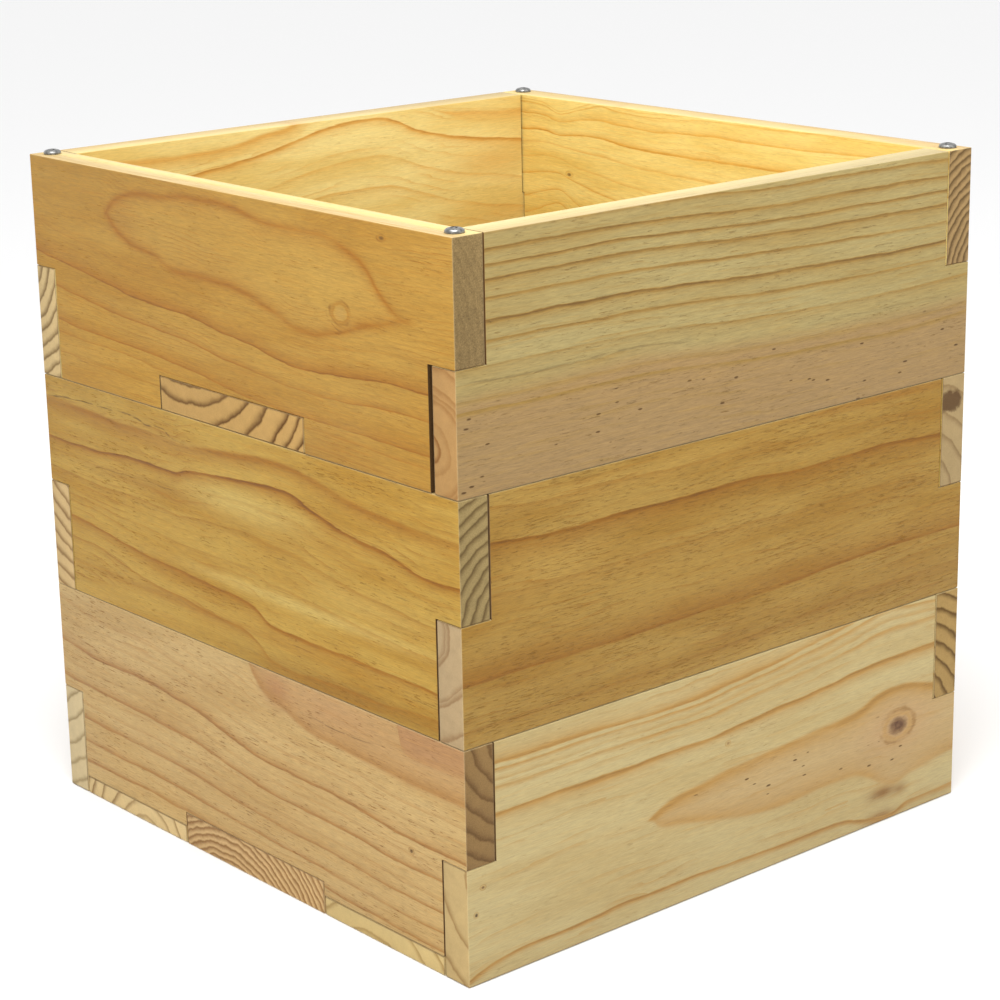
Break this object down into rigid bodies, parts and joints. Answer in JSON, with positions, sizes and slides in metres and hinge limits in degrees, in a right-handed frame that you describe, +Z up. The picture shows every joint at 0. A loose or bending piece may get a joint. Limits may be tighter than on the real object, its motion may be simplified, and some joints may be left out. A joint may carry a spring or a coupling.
{
  "type": "beehive",
  "caption": "Square open-topped beehive body of stacked pine tiers with half-lapped, screwed corners, a planked floor and a loose cross plank between the upper tiers.",
  "frame": {"origin": "middle of the square footprint, on the underside of the floor", "axes": "+Z up to the open rim; +X along the planks' length, out of the right-hand side; +Y towards the back, across the planks"},
  "size_m": [0.4, 0.4, 0.4129],
  "materials": {
    "pine_bottom_front": "planed, unfinished, satin",
    "pine_bottom_right": "planed, unfinished, satin",
    "pine_bottom_back": "planed, unfinished, satin",
    "pine_bottom_left": "planed, unfinished, satin",
    "pine_middle_front": "planed, unfinished, satin",
    "pine_middle_right": "planed, unfinished, satin",
    "pine_middle_back": "planed, unfinished, satin",
    "pine_middle_left": "planed, unfinished, satin",
    "pine_top_front": "planed, unfinished, satin",
    "pine_top_right": "planed, unfinished, satin",
    "pine_top_back": "planed, unfinished, satin",
    "pine_top_left": "planed, unfinished, satin",
    "pine_cross_plank": "planed, unfinished, satin",
    "pine_floor_front": "planed, unfinished, satin",
    "pine_floor_middle": "planed, unfinished, satin",
    "pine_floor_back": "planed, unfinished, satin",
    "zinc_steel": "bright zinc plate"
  },
  "bodies": {
    "bottom_tier": {"bottom_front": "pine_bottom_front", "bottom_right": "pine_bottom_right", "bottom_back": "pine_bottom_back", "bottom_left": "pine_bottom_left", "floor_front": "pine_floor_front", "floor_middle": "pine_floor_middle", "floor_back": "pine_floor_back", "bottom_screw_front_left": "zinc_steel", "bottom_screw_front_right": "zinc_steel", "bottom_screw_back_left": "zinc_steel", "bottom_screw_back_right": "zinc_steel", "floor_screw_front_left_1": "zinc_steel", "floor_screw_front_left_2": "zinc_steel", "floor_screw_front_right_1": "zinc_steel", "floor_screw_front_right_2": "zinc_steel", "floor_screw_middle_left_1": "zinc_steel", "floor_screw_middle_left_2": "zinc_steel", "floor_screw_middle_right_1": "zinc_steel", "floor_screw_middle_right_2": "zinc_steel", "floor_screw_back_left_1": "zinc_steel", "floor_screw_back_left_2": "zinc_steel", "floor_screw_back_right_1": "zinc_steel", "floor_screw_back_right_2": "zinc_steel"},
    "middle_tier": {"middle_front": "pine_middle_front", "middle_right": "pine_middle_right", "middle_back": "pine_middle_back", "middle_left": "pine_middle_left", "middle_screw_front_left": "zinc_steel", "middle_screw_front_right": "zinc_steel", "middle_screw_back_left": "zinc_steel", "middle_screw_back_right": "zinc_steel"},
    "top_tier": {"top_front": "pine_top_front", "top_right": "pine_top_right", "top_back": "pine_top_back", "top_left": "pine_top_left", "top_screw_front_left": "zinc_steel", "top_screw_front_right": "zinc_steel", "top_screw_back_left": "zinc_steel", "top_screw_back_right": "zinc_steel"},
    "cross_plank": {"cross_plank": "pine_cross_plank"}
  },
  "joints": [
    {"name": "middle_tier_lift", "type": "slide", "parent": "bottom_tier", "child": "middle_tier", "axis": [0, 0, 1], "range_m": [0, 0.16]},
    {"name": "top_tier_lift", "type": "slide", "parent": "middle_tier", "child": "top_tier", "axis": [0, 0, 1], "range_m": [0, 0.16]},
    {"name": "cross_plank_draw", "type": "slide", "parent": "middle_tier", "child": "cross_plank", "axis": [-1, 0, 0], "range_m": [0, 0.41]}
  ]
}
